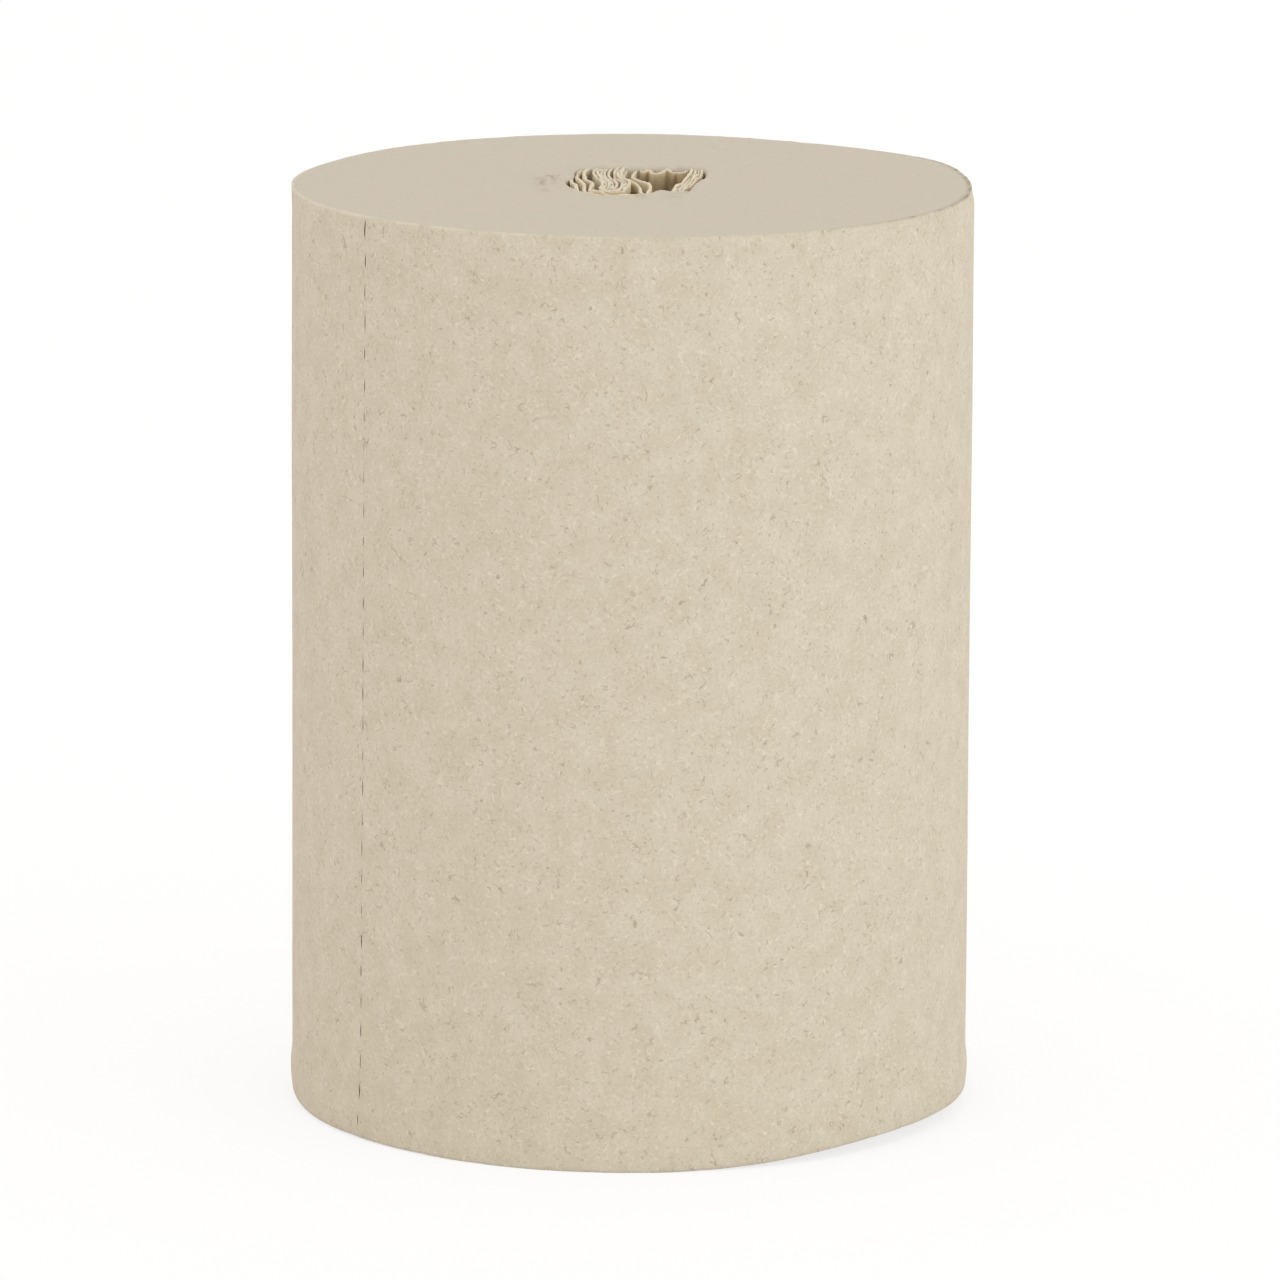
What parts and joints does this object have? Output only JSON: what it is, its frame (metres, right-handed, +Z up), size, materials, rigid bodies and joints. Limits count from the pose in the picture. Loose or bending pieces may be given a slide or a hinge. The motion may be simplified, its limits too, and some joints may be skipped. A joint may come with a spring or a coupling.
{
  "type": "coreless centre-pull paper towel roll",
  "caption": "Coreless centre-pull roll of unbleached paper towel, standing on end, with loose folded turns in its open middle and a perforation row down its side.",
  "frame": {"origin": "centre of the roll's lower end, on the surface it stands on", "axes": "+Z up along the roll's axis, -Y towards the side that faces the camera, with the perforation row on the -X side of it"},
  "size_m": [0.147, 0.1472, 0.2],
  "materials": {
    "paper": "matt, uncoated, creped, unbleached"
  },
  "bodies": {
    "root": {"paper_roll": "paper"}
  },
  "joints": []
}
